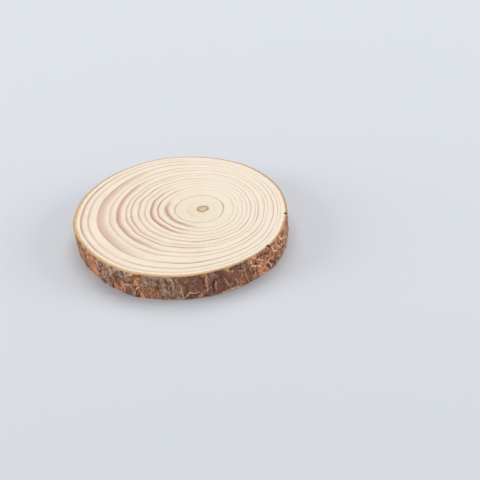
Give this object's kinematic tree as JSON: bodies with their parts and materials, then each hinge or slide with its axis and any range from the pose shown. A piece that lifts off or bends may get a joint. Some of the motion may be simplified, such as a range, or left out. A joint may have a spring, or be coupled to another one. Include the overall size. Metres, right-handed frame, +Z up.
{
  "type": "wood slice",
  "caption": "Round slice sawn across a young pine trunk, with two flat faces, off-centre growth rings and a rim of thin flaky bark, for use as a coaster, tag or craft blank.",
  "frame": {"origin": "middle of the slice's footprint, on the surface that it lies on", "axes": "+Z up, out of the upper sawn face; the pith lies off the middle towards +X; the front, as pictured, faces -Y"},
  "size_m": [0.0762, 0.0762, 0.01],
  "materials": {
    "wood": "sanded, unfinished pale pine end grain with darker growth rings",
    "bark": "rough flaky pine bark, red-brown to grey-brown"
  },
  "bodies": {
    "root": {"wood": "wood", "bark": "bark"}
  },
  "joints": []
}
